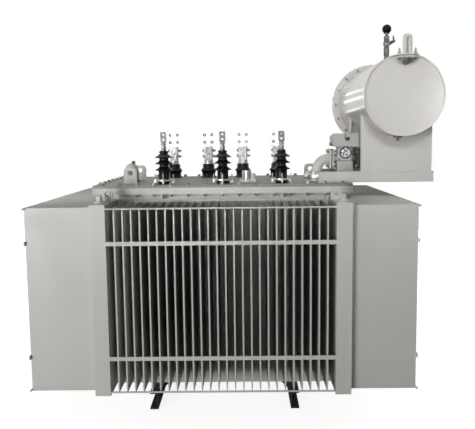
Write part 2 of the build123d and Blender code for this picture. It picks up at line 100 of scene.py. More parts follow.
def startGroup(name, inputs, outputs):
    group = bpy.data.node_groups.new(name, "ShaderNodeTree")
    for label, value in inputs:
        socket = group.interface.new_socket(name=label, in_out="INPUT", socket_type="NodeSocketFloat")
        socket.default_value = value
    for label in outputs:
        group.interface.new_socket(name=label, in_out="OUTPUT", socket_type="NodeSocketFloat")
    enter = group.nodes.new("NodeGroupInput")
    leave = group.nodes.new("NodeGroupOutput")
    return group, enter, leave


def noiseOn(tree, where, scale, detail, roughness=0.5):
    noise = putNode(tree, "ShaderNodeTexNoise", Scale=scale, Detail=detail, Roughness=roughness)
    tree.links.new(where, noise.inputs["Vector"])
    return noise.outputs["Fac"]


def mathOn(tree, operation, first, second=None, clamp=False):
    node = putNode(tree, "ShaderNodeMath", operation=operation, use_clamp=clamp)
    for socket, value in zip(node.inputs, (first, second)):
        if value is None:
            continue
        if isinstance(value, (int, float)):
            socket.default_value = value
        else:
            tree.links.new(value, socket)
    return node.outputs[0]


def rangeOn(tree, value, low, high, toLow, toHigh):
    node = putNode(tree, "ShaderNodeMapRange", clamp=True)
    tree.links.new(value, node.inputs["Value"])
    for label, number in (("From Min", low), ("From Max", high), ("To Min", toLow), ("To Max", toHigh)):
        if isinstance(number, (int, float)):
            node.inputs[label].default_value = number
        else:
            tree.links.new(number, node.inputs[label])
    return node.outputs["Result"]


# cloudy tone and orange peel of sprayed paint
def makeSprayGroup():
    group, enter, leave = startGroup(
        "sprayedSkin", [("Cloud Scale", 2.2), ("Peel Scale", 260.0)], ["Cloud", "Gloss", "Peel"],
    )
    where = putNode(group, "ShaderNodeTexCoord").outputs["Object"]
    cloud = putNode(group, "ShaderNodeTexNoise", Detail=4.0, Roughness=0.55)
    group.links.new(where, cloud.inputs["Vector"])
    group.links.new(enter.outputs["Cloud Scale"], cloud.inputs["Scale"])
    peel = putNode(group, "ShaderNodeTexNoise", Detail=2.0)
    group.links.new(where, peel.inputs["Vector"])
    group.links.new(enter.outputs["Peel Scale"], peel.inputs["Scale"])
    patch = noiseOn(group, where, 9.0, 3.0)
    group.links.new(rangeOn(group, cloud.outputs["Fac"], 0.3, 0.7, 0.0, 1.0), leave.inputs["Cloud"])
    group.links.new(rangeOn(group, patch, 0.3, 0.7, 0.0, 1.0), leave.inputs["Gloss"])
    group.links.new(peel.outputs["Fac"], leave.inputs["Peel"])
    return group


# rubbed edges, found where the rounded normal leaves the face's own
def makeRubGroup():
    group, enter, leave = startGroup("rubbedEdge", [("Width", 0.004), ("Breakup", 24.0)], ["Mask"])
    where = putNode(group, "ShaderNodeTexCoord").outputs["Object"]
    rounded = putNode(group, "ShaderNodeBevel", samples=4)
    group.links.new(enter.outputs["Width"], rounded.inputs["Radius"])
    flat = putNode(group, "ShaderNodeNewGeometry").outputs["Normal"]
    dot = putNode(group, "ShaderNodeVectorMath", operation="DOT_PRODUCT")
    group.links.new(rounded.outputs["Normal"], dot.inputs[0])
    group.links.new(flat, dot.inputs[1])
    edge = rangeOn(group, dot.outputs["Value"], 0.98, 0.80, 0.0, 1.0)
    chip = putNode(group, "ShaderNodeTexNoise", Detail=5.0, Roughness=0.6)
    group.links.new(where, chip.inputs["Vector"])
    group.links.new(enter.outputs["Breakup"], chip.inputs["Scale"])
    broken = rangeOn(group, chip.outputs["Fac"], 0.45, 0.65, 0.0, 1.0)
    group.links.new(mathOn(group, "MULTIPLY", edge, broken), leave.inputs["Mask"])
    return group


# dust that settles on level faces
def makeDustGroup():
    group, enter, leave = startGroup("settledDust", [("Patch Scale", 5.0)], ["Mask"])
    where = putNode(group, "ShaderNodeTexCoord").outputs["Object"]
    facing = putNode(group, "ShaderNodeSeparateXYZ")
    group.links.new(putNode(group, "ShaderNodeNewGeometry").outputs["Normal"], facing.inputs[0])
    level = rangeOn(group, facing.outputs["Z"], 0.55, 0.95, 0.0, 1.0)
    patch = putNode(group, "ShaderNodeTexNoise", Detail=6.0, Roughness=0.65)
    group.links.new(where, patch.inputs["Vector"])
    group.links.new(enter.outputs["Patch Scale"], patch.inputs["Scale"])
    spread = rangeOn(group, patch.outputs["Fac"], 0.25, 0.75, 0.35, 1.0)
    group.links.new(mathOn(group, "MULTIPLY", level, spread), leave.inputs["Mask"])
    return group


# faint runs down upright faces
def makeRunGroup():
    group, enter, leave = startGroup("rainRuns", [("Across", 14.0), ("Along", 0.8)], ["Mask"])
    where = putNode(group, "ShaderNodeTexCoord").outputs["Object"]
    stretch = putNode(group, "ShaderNodeCombineXYZ")
    for axis, label in (("X", "Across"), ("Y", "Across"), ("Z", "Along")):
        group.links.new(enter.outputs[label], stretch.inputs[axis])
    pulled = putNode(group, "ShaderNodeVectorMath", operation="MULTIPLY")
    group.links.new(where, pulled.inputs[0])
    group.links.new(stretch.outputs[0], pulled.inputs[1])
    runs = noiseOn(group, pulled.outputs[0], 1.0, 4.0, 0.6)
    facing = putNode(group, "ShaderNodeSeparateXYZ")
    group.links.new(putNode(group, "ShaderNodeNewGeometry").outputs["Normal"], facing.inputs[0])
    upright = rangeOn(group, mathOn(group, "ABSOLUTE", facing.outputs["Z"]), 0.3, 0.7, 1.0, 0.0)
    streaks = rangeOn(group, runs, 0.5, 0.75, 0.0, 1.0)
    group.links.new(mathOn(group, "MULTIPLY", streaks, upright), leave.inputs["Mask"])
    return group


effects = {
    "spray": makeSprayGroup(),
    "rub": makeRubGroup(),
    "dust": makeDustGroup(),
    "runs": makeRunGroup(),
}


def placeEffect(tree, effect, **values):
    node = tree.nodes.new("ShaderNodeGroup")
    node.node_tree = effects[effect]
    for label, value in values.items():
        node.inputs[label.replace("_", " ")].default_value = value
    return node


def blendColour(tree, mask, first, second):
    node = putNode(tree, "ShaderNodeMix", data_type="RGBA")
    if isinstance(mask, (int, float)):
        node.inputs["Factor"].default_value = mask
    else:
        tree.links.new(mask, node.inputs["Factor"])
    for label, colour in (("A", first), ("B", second)):
        socket = [s for s in node.inputs if s.name == label and s.type == "RGBA"][0]
        if isinstance(colour, tuple):
            socket.default_value = (*colour, 1.0)
        else:
            tree.links.new(colour, socket)
    return [s for s in node.outputs if s.type == "RGBA"][0]


def startMaterial(name):
    material = bpy.data.materials.new(name)
    material.use_nodes = True
    tree = material.node_tree
    shader = tree.nodes["Principled BSDF"]
    return material, tree, shader


def setBump(tree, shader, height, strength, distance):
    bump = putNode(tree, "ShaderNodeBump", Strength=strength, Distance=distance)
    tree.links.new(height, bump.inputs["Height"])
    tree.links.new(bump.outputs["Normal"], shader.inputs["Normal"])


# mask that is 1 past a place on one axis of the object
def beyondPlace(tree, axis, place, soft=0.002):
    parts = putNode(tree, "ShaderNodeSeparateXYZ")
    tree.links.new(putNode(tree, "ShaderNodeTexCoord").outputs["Object"], parts.inputs[0])
    return rangeOn(tree, parts.outputs[axis], place - soft, place + soft, 0.0, 1.0)


# mask of painted shade on the faces between fins that look along X, fading out towards the open lower end
def finSideShade(tree, spec):
    facing = putNode(tree, "ShaderNodeSeparateXYZ")
    tree.links.new(putNode(tree, "ShaderNodeNewGeometry").outputs["Normal"], facing.inputs[0])
    sideways = rangeOn(tree, mathOn(tree, "ABSOLUTE", facing.outputs["X"]), 0.5, 0.8, 0.0, 1.0)
    inner = mathOn(
        tree,
        "SUBTRACT",
        beyondPlace(tree, "X", -spec["innerHalf"], spec["innerSoft"]),
        beyondPlace(tree, "X", spec["innerHalf"], spec["innerSoft"]),
    )
    high = beyondPlace(tree, "Z", *spec["fade"])
    return mathOn(tree, "MULTIPLY", mathOn(tree, "MULTIPLY", sideways, inner), high)


# sprayed enamel; colours are linear
tankPaint = {
    "tone": (0.585, 0.572, 0.540),
    "toneDeep": (0.545, 0.535, 0.502),
    "rubTone": (0.70, 0.69, 0.665),
    "dustTone": (0.40, 0.385, 0.36),
    "runTone": (0.47, 0.46, 0.43),
    "rubAmount": 0.35,
    "dustAmount": 0.35,
    "runAmount": 0.22,
    "rough": (0.34, 0.46),
    "peel": 0.05,
}
# cover paint: darker than the tank paint, as painted shade on the dim cover top, with settled dust on it
coverPaintShaded = dict(
    tankPaint,
    tone=(0.255, 0.248, 0.235),
    toneDeep=(0.212, 0.206, 0.195),
    dustTone=(0.27, 0.26, 0.244),
    dustAmount=0.4,
    rough=(0.40, 0.52),
)
vesselPaint = dict(
    tankPaint,
    tone=(0.62, 0.603, 0.568),
    toneDeep=(0.60, 0.583, 0.549),
    rough=(0.16, 0.20),
    dustAmount=0.02,
    runAmount=0.05,
    peel=0.015,
)
# tank body paint: a lighter copy of the tank paint, painted light on the band under the cover flange
bandPaintLit = dict(
    tankPaint,
    tone=(0.71, 0.695, 0.655),
    toneDeep=(0.67, 0.656, 0.617),
)
castPaint = dict(
    tankPaint,
    tone=(0.46, 0.462, 0.452),
    toneDeep=(0.40, 0.402, 0.394),
    rough=(0.42, 0.58),
    peel=0.14,
)
# relief valve paint, dark below lowTop: painted shade on the valve's foot seen through the lug eye
reliefPaintShadedFoot = dict(tankPaint, lowTop=1.352, lowTone=(0.10, 0.098, 0.095))
# breather pipe paint, dark below lowTop: painted shade on the neck under its flange
breatherPaintShadedNeck = dict(tankPaint, lowTop=1.957, lowTone=(0.13, 0.127, 0.122))
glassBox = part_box("relay_window")
blockReach = 0.0505  # from the window's centre to just past the block
# relay paint, nearly black from just past the block to the right end: painted shade by the support
relayPaintShadedEnd = dict(
    castPaint,
    endShadeFrom=(glassBox[0].x + glassBox[1].x) / 2 + blockReach,
    endShadeTone=(0.055, 0.055, 0.054),
)
# fin paint: the sides between fins darker, as painted shade in the gaps
finPaintShadedGaps = dict(
    tankPaint,
    gapShadeTone=(0.27, 0.264, 0.249),
    innerHalf=0.5645,  # leaves out the outer faces of the two end fins
    innerSoft=0.0005,
    fade=(0.42, 0.16),  # middle and half length of the fade in height
)
blackPaint = dict(
    tankPaint,
    tone=(0.022, 0.022, 0.024),
    toneDeep=(0.014, 0.014, 0.015),
    rubTone=(0.12, 0.12, 0.12),
    dustTone=(0.09, 0.085, 0.08),
    runTone=(0.05, 0.048, 0.045),
    rough=(0.38, 0.52),
)


def makePaint(name, spec, sheen=0.5):
    material, tree, shader = startMaterial(name)
    spray = placeEffect(tree, "spray")
    rub = placeEffect(tree, "rub")
    dust = placeEffect(tree, "dust")
    runs = placeEffect(tree, "runs")
    colour = blendColour(tree, spray.outputs["Cloud"], spec["tone"], spec["toneDeep"])
    # dark below lowTop: painted shade on the relief valve's foot and the breather's neck
    if "lowTone" in spec:
        colour = blendColour(tree, beyondPlace(tree, "Z", spec["lowTop"]), spec["lowTone"], colour)
    for effect, key in ((runs, "run"), (dust, "dust"), (rub, "rub")):
        mask = mathOn(tree, "MULTIPLY", effect.outputs["Mask"], spec[key + "Amount"])
        colour = blendColour(tree, mask, colour, spec[key + "Tone"])
    # nearly black towards the right end: painted shade
    if "endShadeTone" in spec:
        colour = blendColour(tree, beyondPlace(tree, "X", spec["endShadeFrom"]), colour, spec["endShadeTone"])
    # darker fin sides between the end fins: painted shade
    if "gapShadeTone" in spec:
        colour = blendColour(tree, finSideShade(tree, spec), colour, spec["gapShadeTone"])
    tree.links.new(colour, shader.inputs["Base Color"])
    rough = rangeOn(tree, spray.outputs["Gloss"], 0.0, 1.0, *spec["rough"])
    dusty = mathOn(tree, "MULTIPLY", dust.outputs["Mask"], 0.2)
    tree.links.new(mathOn(tree, "ADD", rough, dusty, clamp=True), shader.inputs["Roughness"])
    shader.inputs["Specular IOR Level"].default_value = sheen
    setBump(tree, shader, spray.outputs["Peel"], spec["peel"], 0.0006)
    return material


# dark glazed porcelain
glaze = {
    "tone": (0.0045, 0.0038, 0.0038),
    "toneWarm": (0.010, 0.0075, 0.0068),
    "dustTone": (0.05, 0.047, 0.045),
    "dustAmount": 0.02,
    "rough": (0.18, 0.30),
    "coat": 0.04,
    "sheen": 0.16,
}


def makeGlaze(name, spec):
    material, tree, shader = startMaterial(name)
    spray = placeEffect(tree, "spray", Cloud_Scale=16.0, Peel_Scale=90.0)
    dust = placeEffect(tree, "dust", Patch_Scale=22.0)
    colour = blendColour(tree, spray.outputs["Cloud"], spec["tone"], spec["toneWarm"])
    mask = mathOn(tree, "MULTIPLY", dust.outputs["Mask"], spec["dustAmount"])
    tree.links.new(blendColour(tree, mask, colour, spec["dustTone"]), shader.inputs["Base Color"])
    tree.links.new(
        rangeOn(tree, spray.outputs["Gloss"], 0.0, 1.0, *spec["rough"]), shader.inputs["Roughness"],
    )
    shader.inputs["Coat Weight"].default_value = spec["coat"]
    shader.inputs["Specular IOR Level"].default_value = spec["sheen"]
    setBump(tree, shader, spray.outputs["Peel"], 0.04, 0.0008)
    return material


# bare and plated metals
tinPlate = {
    "tone": (0.84, 0.84, 0.83), "toneDull": (0.62, 0.62, 0.61), "rough": (0.30, 0.48), "metal": 1.0,
    "grain": 420.0,
}
zincPlate = {
    "tone": (0.56, 0.56, 0.55), "toneDull": (0.34, 0.34, 0.335), "rough": (0.30, 0.50), "metal": 1.0,
    "grain": 300.0,
}
valvePlate = {
    "tone": (0.24, 0.235, 0.23), "toneDull": (0.006, 0.006, 0.0058), "rough": (0.40, 0.60), "metal": 0.9,
    "grain": 260.0, "cloud": 75.0,
}
padPlate = dict(
    tinPlate, lowTop=1.490, lowTone=(0.60, 0.59, 0.58), lowDull=(0.15, 0.147, 0.142), cloud=60.0,
)
capPlate = {
    "tone": (0.56, 0.555, 0.545), "toneDull": (0.40, 0.397, 0.39), "rough": (0.26, 0.40), "metal": 0.75,
    "grain": 240.0,
}
flagPlate = {
    "tone": (0.21, 0.21, 0.21), "toneDull": (0.10, 0.10, 0.10), "rough": (0.30, 0.48), "metal": 1.0,
    "grain": 380.0,
}
boltPlate = {
    "tone": (0.31, 0.31, 0.30), "toneDull": (0.17, 0.17, 0.165), "rough": (0.42, 0.58), "metal": 0.85,
    "grain": 500.0,
}


def makeMetal(name, spec):
    material, tree, shader = startMaterial(name)
    spray = placeEffect(tree, "spray", Cloud_Scale=spec.get("cloud", 38.0), Peel_Scale=spec["grain"])
    rub = placeEffect(tree, "rub", Width=0.0015, Breakup=90.0)
    colour = blendColour(tree, spray.outputs["Cloud"], spec["tone"], spec["toneDull"])
    if "lowTone" in spec:
        under = blendColour(tree, spray.outputs["Cloud"], spec["lowTone"], spec["lowDull"])
        colour = blendColour(tree, beyondPlace(tree, "Z", spec["lowTop"]), under, colour)
    mask = mathOn(tree, "MULTIPLY", rub.outputs["Mask"], 0.4)
    tree.links.new(blendColour(tree, mask, colour, spec["tone"]), shader.inputs["Base Color"])
    tree.links.new(
        rangeOn(tree, spray.outputs["Gloss"], 0.0, 1.0, *spec["rough"]), shader.inputs["Roughness"],
    )
    shader.inputs["Metallic"].default_value = spec["metal"]
    setBump(tree, shader, spray.outputs["Peel"], 0.06, 0.0004)
    return material


# moulded plastic and rubber
capPlastic = {
    "tone": (0.002, 0.002, 0.0021), "toneDull": (0.004, 0.004, 0.0042), "rough": (0.44, 0.58),
    "grain": 700.0, "sheen": 0.12,
}
pinPlastic = {
    "tone": (0.065, 0.042, 0.046), "toneDull": (0.095, 0.070, 0.074), "rough": (0.40, 0.56),
    "grain": 600.0,
}
gasketRubber = {
    "tone": (0.018, 0.017, 0.016), "toneDull": (0.045, 0.043, 0.040), "rough": (0.62, 0.82),
    "grain": 500.0,
}


def makeMoulded(name, spec):
    material, tree, shader = startMaterial(name)
    spray = placeEffect(tree, "spray", Cloud_Scale=25.0, Peel_Scale=spec["grain"])
    dust = placeEffect(tree, "dust", Patch_Scale=30.0)
    mask = mathOn(tree, "MULTIPLY", dust.outputs["Mask"], 0.6)
    colour = blendColour(tree, spray.outputs["Cloud"], spec["tone"], spec["toneDull"])
    tree.links.new(blendColour(tree, mask, colour, spec["toneDull"]), shader.inputs["Base Color"])
    tree.links.new(
        rangeOn(tree, spray.outputs["Gloss"], 0.0, 1.0, *spec["rough"]), shader.inputs["Roughness"],
    )
    shader.inputs["Specular IOR Level"].default_value = spec.get("sheen", 0.5)
    setBump(tree, shader, spray.outputs["Peel"], 0.08, 0.0004)
    return material


# disc of the relay window; its white and dark clouds are a painted reflection
def makeSightGlass(name):
    material, tree, shader = startMaterial(name)
    spray = placeEffect(tree, "spray", Cloud_Scale=62.0, Peel_Scale=120.0)
    cloud = rangeOn(tree, spray.outputs["Cloud"], 0.40, 0.62, 0.0, 1.0)
    colour = blendColour(tree, cloud, (0.95, 0.96, 0.96), (0.20, 0.21, 0.215))
    tree.links.new(colour, shader.inputs["Base Color"])
    tree.links.new(rangeOn(tree, spray.outputs["Gloss"], 0.0, 1.0, 0.04, 0.12), shader.inputs["Roughness"])
    shader.inputs["Transmission Weight"].default_value = 0.12
    shader.inputs["IOR"].default_value = 1.5
    return material


finishes = {
    "grey_paint": makePaint("lightGreyEnamel", tankPaint),
    "black_paint": makePaint("blackEnamel", blackPaint),
    "black_glaze": makeGlaze("darkGlaze", glaze),
    "tinned_metal": makeMetal("tinnedCopper", tinPlate),
    "zinc_metal": makeMetal("dullZinc", zincPlate),
    "cast_alloy": makePaint("castAlloyPaint", castPaint),
    "sight_glass": makeSightGlass("sightGlass"),
    "black_plastic": makeMoulded("blackMoulding", capPlastic),
}
coverFinishShaded = makePaint("shadedDustyCoverEnamel", coverPaintShaded)
vesselFinish = makePaint("glossyVesselEnamel", vesselPaint)
bandFinishLit = makePaint("litBandEnamel", bandPaintLit)
boltFinish = makeMetal("platedBolts", boltPlate)
valveFinish = makeMetal("mottledValve", valvePlate)
flagFinish = makeMetal("dullFlag", flagPlate)
padFinish = makeMetal("tinnedPads", padPlate)
capFinish = makeMetal("brightCap", capPlate)
reliefFinishShadedFoot = makePaint("reliefEnamelShadedFoot", reliefPaintShadedFoot)
relayFinishShadedEnd = makePaint("relayCastingShadedEnd", relayPaintShadedEnd)
finFinishShadedGaps = makePaint("finEnamelShadedGaps", finPaintShadedGaps)
breatherFinishShadedNeck = makePaint("breatherEnamelShadedNeck", breatherPaintShadedNeck)
rubberFinish = makeMoulded("gasketRubber", gasketRubber)
pinFinish = makeMoulded("darkRedMoulding", pinPlastic)

ownFinish = {
    "cover_plate": coverFinishShaded,
    "tank_body": bandFinishLit,
    "hv_terminals": flagFinish,
    "drain_stub": valveFinish,
    "lv_terminals": padFinish,
    "tap_changer_cap": capFinish,
    "relief_valve": reliefFinishShadedFoot,
    "breather_pipe": breatherFinishShadedNeck,
    "relay_body": relayFinishShadedEnd,
    "front_corrugated_wall": finFinishShadedGaps,
    "back_corrugated_wall": finFinishShadedGaps,
    "outlet_pipe": finishes["black_paint"],
    "relief_pin": pinFinish,
    "conservator_shell": vesselFinish,
    "conservator_front_end": vesselFinish,
    "conservator_rear_flange": vesselFinish,
    "conservator_rear_cover": vesselFinish,
}
for row in frame["record"]["subparts"]:
    chosen = ownFinish.get(row["node"], finishes[row["material_slot"]])
    for place in nodes[row["node"]].material_slots:
        place.material = chosen
print("materials made:", len(bpy.data.materials))


# mesh helpers
def finishPiece(name, bm, material, hides=(), smoothAngle=35.0):
    bmesh.ops.recalc_face_normals(bm, faces=bm.faces)
    mesh = bpy.data.meshes.new(name)
    bm.to_mesh(mesh)
    bm.free()
    mesh.shade_smooth()
    mesh.set_sharp_from_angle(angle=math.radians(smoothAngle))
    mesh.materials.append(material)
    piece = bpy.data.objects.new(name, mesh)
    scene.collection.objects.link(piece)
    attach(piece, "root")
    if hides:
        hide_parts(*hides)
    return piece


def pointing(place, way):
    turn = Vector((0, 0, 1)).rotation_difference(Vector(way).normalized())
    return Matrix.Translation(place) @ turn.to_matrix().to_4x4()


def addPrism(bm, at, low, high, radius, sides, topRadius=None, turn=0.0):
    made = bmesh.ops.create_cone(
        bm, cap_ends=True, segments=sides, radius1=radius, radius2=radius if topRadius is None else topRadius,
        depth=high - low,
        matrix=at @ Matrix.Rotation(turn, 4, "Z") @ Matrix.Translation((0, 0, (low + high) / 2)),
    )
    return made["verts"]


def addBlock(bm, low, high, edgeRound=0.0, segments=2):
    low, high = Vector(low), Vector(high)
    size = Matrix.Diagonal((*(high - low), 1.0))
    verts = bmesh.ops.create_cube(bm, size=1.0, matrix=Matrix.Translation((low + high) / 2) @ size)["verts"]
    if edgeRound:
        edges = list({e for v in verts for e in v.link_edges})
        bmesh.ops.bevel(
            bm, geom=edges, offset=edgeRound, affect="EDGES", segments=segments, profile=0.5, material=-1,
        )


# hexagon with a chamfered crown
def addHex(bm, at, low, high, radius, chamfer, turn=0.0):
    verts = addPrism(bm, at, low, high, radius, 6, turn=turn)
    level = at.inverted()
    top = {v for v in verts if (level @ v.co).z > (low + high) / 2}
    rims = [e for e in {e for v in top for e in v.link_edges} if all(v in top for v in e.verts)]
    bmesh.ops.bevel(bm, geom=rims, offset=chamfer, affect="EDGES", segments=1, profile=0.5, material=-1)


# washer, hexagon and a thread end, each sunk a little into the one below
def addBolt(bm, place, way, spec, turn=0.0, threadOut=True, sunk=0.0004):
    at = pointing(place, way)
    addPrism(bm, at, -sunk, spec["washerT"], spec["washerR"], 14)
    crown = spec["washerT"] + spec["headH"]
    addHex(bm, at, spec["washerT"] - sunk, crown, spec["hexR"], spec["chamfer"], turn)
    if threadOut:
        addPrism(
            bm, at, crown - sunk, crown + spec["thread"], spec["threadR"], 10,
            topRadius=spec["threadR"] * 0.8,
        )


# lathe: a profile of radius and height turned about an upright axis, then its rims rounded
def addTurned(bm, centre, profile, steps, rimRound=0.0):
    before = set(bm.verts)
    rail = [bm.verts.new((centre[0] + r, centre[1], centre[2] + z)) for r, z in profile]
    wires = [bm.edges.new(pair) for pair in zip(rail, rail[1:])]
    bmesh.ops.spin(
        bm, geom=rail + wires, cent=centre, axis=(0, 0, 1), dvec=(0, 0, 0),
        angle=math.tau, steps=steps, use_merge=True, use_duplicate=False,
    )
    turned = [v for v in bm.verts if v not in before]
    bmesh.ops.remove_doubles(bm, verts=turned, dist=1e-6)
    turned = [v for v in bm.verts if v not in before]
    faces = list({f for v in turned for f in v.link_faces})
    bmesh.ops.recalc_face_normals(bm, faces=faces)
    if rimRound:
        rims = [
            e for e in {e for v in turned for e in v.link_edges}
            if abs(e.verts[0].co.z - e.verts[1].co.z) < 1e-6
            and len(e.link_faces) == 2
            and e.calc_face_angle() > math.radians(28)
        ]
        bmesh.ops.bevel(
            bm, geom=rims, offset=rimRound, affect="EDGES", segments=2, profile=0.5, material=-1,
            clamp_overlap=True,
        )
        turned = [v for v in bm.verts if v not in before]
        edges = list({e for v in turned for e in v.link_edges})
        bmesh.ops.dissolve_degenerate(bm, dist=1e-5, edges=edges)


# profiles are written in millimetres
def inMetres(profile):
    return [(r / 1000, z / 1000) for r, z in profile]


# round ring about any axis
def addRing(bm, centre, way, ringR, tubeR, steps=48, sides=8):
    at = pointing(centre, way) @ Matrix.Translation((ringR, 0, 0)) @ Matrix.Rotation(math.pi / 2, 4, "X")
    tube = bmesh.ops.create_circle(bm, segments=sides, radius=tubeR, matrix=at)["verts"]
    edges = list({e for v in tube for e in v.link_edges})
    bmesh.ops.spin(
        bm, geom=tube + edges, cent=centre, axis=way, dvec=(0, 0, 0),
        angle=math.tau, steps=steps, use_merge=True, use_duplicate=False,
    )


# rippled bead laid along a line
def addWeld(bm, start, end, radius=0.004, step=0.008, ripple=1.18):
    start, end = Vector(start), Vector(end)
    run = end - start
    count = max(2, int(run.length / step))
    at = pointing(start, run)
    ring = bmesh.ops.create_circle(bm, segments=6, radius=radius, matrix=at)["verts"]
    edges = list({e for v in ring for e in v.link_edges})
    ends = list(edges)
    for i in range(count):
        made = bmesh.ops.extrude_edge_only(bm, edges=edges)["geom"]
        ring = [g for g in made if isinstance(g, bmesh.types.BMVert)]
        edges = [g for g in made if isinstance(g, bmesh.types.BMEdge) and all(v in ring for v in g.verts)]
        bmesh.ops.translate(bm, verts=ring, vec=run / count)
        middle = start + run * ((i + 1) / count)
        swell = ripple if i % 2 else 1 / ripple
        bmesh.ops.scale(bm, vec=(swell,) * 3, verts=ring, space=Matrix.Translation(-middle))
    bmesh.ops.holes_fill(bm, edges=ends + edges)


# the places that the CAD gives
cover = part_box("cover_plate")
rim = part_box("tank_flange")
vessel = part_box("conservator_shell")
vesselX = (vessel[0].x + vessel[1].x) / 2
vesselZ = (vessel[0].z + vessel[1].z) / 2


# bolts round the cover: heads above, nuts below the flange
coverBolts = {
    "pitch": 0.0978, "sidePitch": 0.122, "inset": 0.026, "corner": 0.060,
    "head": {
        "washerR": 0.0135, "washerT": 0.0025, "hexR": 0.0112, "headH": 0.0125, "chamfer": 0.0014,
        "thread": 0.0, "threadR": 0.006,
    },
    "nut": {
        "washerR": 0.0135, "washerT": 0.0025, "hexR": 0.0110, "headH": 0.010, "chamfer": 0.0014,
        "thread": 0.006, "threadR": 0.006,
    },
}


def coverBoltPlaces(spec):
    low, high = cover
    wide = high.x - low.x - 2 * spec["corner"]
    deep = high.y - low.y - 2 * spec["corner"] - spec["sidePitch"]
    across, along = round(wide / spec["pitch"]), round(deep / spec["sidePitch"])
    for i in range(across + 1):
        x = low.x + spec["corner"] + wide * i / across
        yield x, low.y + spec["inset"]
        yield x, high.y - spec["inset"]
    for i in range(along + 1):
        y = low.y + spec["corner"] + spec["sidePitch"] / 2 + deep * i / along
        yield low.x + spec["inset"], y
        yield high.x - spec["inset"], y


def beamStandsOn(x, y, reach=0.02):
    return any(
        beam[0].x - reach < x < beam[1].x + reach and beam[0].y - reach < y < beam[1].y + reach
        for beam in (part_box("support_beam_front"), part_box("support_beam_rear"))
    )


bm = bmesh.new()
for i, (x, y) in enumerate(coverBoltPlaces(coverBolts)):
    if not beamStandsOn(x, y):
        addBolt(bm, (x, y, cover[1].z), (0, 0, 1), coverBolts["head"], turn=i * 0.4, threadOut=False)
    addBolt(bm, (x, y, rim[0].z), (0, 0, -1), coverBolts["nut"], turn=i * 0.7)
finishPiece("coverBolts", bm, boltFinish)

print("cover bolts made")


# high-voltage porcelain, turned, with rounded drooping sheds
hvPorcelain = {
    "steps": 40, "rimRound": 0.0016, "shedR": 0.052,
    "profile": (
        (0, 0), (38, 0), (38, 17), (33, 18), (33, 70), (34, 77),
        (50, 79), (52, 81), (51, 84), (33, 95), (28, 102), (27, 112), (28, 115),
        (50, 116), (52, 118), (51, 121), (33, 132), (28, 139), (27, 149), (28, 152),
        (50, 153), (52, 155), (51, 158), (33, 169), (27, 176), (23, 177), (23, 180),
        (27, 181), (27, 191), (19, 195), (0, 195),
    ),
}
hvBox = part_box("hv_bushings")
hvY = (hvBox[0].y + hvBox[1].y) / 2
hvX = [hvBox[0].x + hvPorcelain["shedR"], (hvBox[0].x + hvBox[1].x) / 2, hvBox[1].x - hvPorcelain["shedR"]]
bm = bmesh.new()
outline = inMetres(hvPorcelain["profile"])
for x in hvX:
    addTurned(bm, (x, hvY, cover[1].z), outline, hvPorcelain["steps"], hvPorcelain["rimRound"])
finishPiece("hvPorcelain", bm, finishes["black_glaze"], hides=("hv_bushings",))

# low-voltage porcelain
lvPorcelain = {
    "count": 4, "steps": 40, "rimRound": 0.0016, "footR": 0.055,
    "profile": (
        (0, 0), (55, 0), (55, 5), (50, 9), (47, 13), (46, 34), (48, 40),
        (54, 44), (55, 47), (54, 51), (46, 60), (42, 66), (41, 90), (38, 94), (0, 94),
    ),
}
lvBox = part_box("lv_bushings")
lvY = (lvBox[0].y + lvBox[1].y) / 2
lvSpan = lvBox[1].x - lvBox[0].x - 2 * lvPorcelain["footR"]
lvGaps = lvPorcelain["count"] - 1
lvX = [lvBox[0].x + lvPorcelain["footR"] + i * lvSpan / lvGaps for i in range(lvPorcelain["count"])]
bm = bmesh.new()
outline = inMetres(lvPorcelain["profile"])
for x in lvX:
    addTurned(bm, (x, lvY, cover[1].z), outline, lvPorcelain["steps"], lvPorcelain["rimRound"])
finishPiece("lvPorcelain", bm, finishes["black_glaze"], hides=("lv_bushings",))

# clamp rings with four ears, each on a claw and held by a stud and nut
hvClamps = {
    "ring": (0.0335, 0.049), "low": 0.018, "high": 0.027, "earIn": 0.044, "earOut": 0.060, "earHalf": 0.007,
    "clawIn": 0.046, "clawHalf": 0.0045, "studAt": 0.0535, "studR": 0.0038, "studTop": 0.058, "steps": 40,
    "earRound": 0.0012, "clawRound": 0.001,
    "nut": {"washerR": 0.0080, "washerT": 0.002, "hexR": 0.0066, "headH": 0.006, "chamfer": 0.001},
}


def addArm(bm, centre, way, near, far, half, low, high, edgeRound):
    along, across = Vector((*way, 0)), Vector((-way[1], way[0], 0))
    ends = [Vector(centre) + along * near - across * half, Vector(centre) + along * far + across * half]
    corners = [[pick(e[k] for e in ends) for k in (0, 1)] for pick in (min, max)]
    addBlock(bm, (*corners[0], centre[2] + low), (*corners[1], centre[2] + high), edgeRound)


def addClamp(bm, centre, spec):
    inner, outer = spec["ring"]
    low, high = spec["low"], spec["high"]
    addTurned(
        bm, centre, [(inner, low), (outer, low), (outer, high), (inner, high), (inner, low)],
        spec["steps"],
    )
    for way in ((1, 0), (0, 1), (-1, 0), (0, -1)):
        addArm(bm, centre, way, spec["earIn"], spec["earOut"], spec["earHalf"], low, high, spec["earRound"])
        addArm(
            bm, centre, way, spec["clawIn"], spec["earOut"], spec["clawHalf"], 0.0, low, spec["clawRound"],
        )


def addClampStuds(bm, centre, spec):
    for way in ((1, 0), (0, 1), (-1, 0), (0, -1)):
        foot = Vector(centre) + spec["studAt"] * Vector((*way, 0))
        addPrism(bm, Matrix.Translation(foot), 0.0, spec["studTop"], spec["studR"], 10)
        addBolt(bm, foot + Vector((0, 0, spec["high"])), (0, 0, 1), spec["nut"], turn=0.5, threadOut=False)


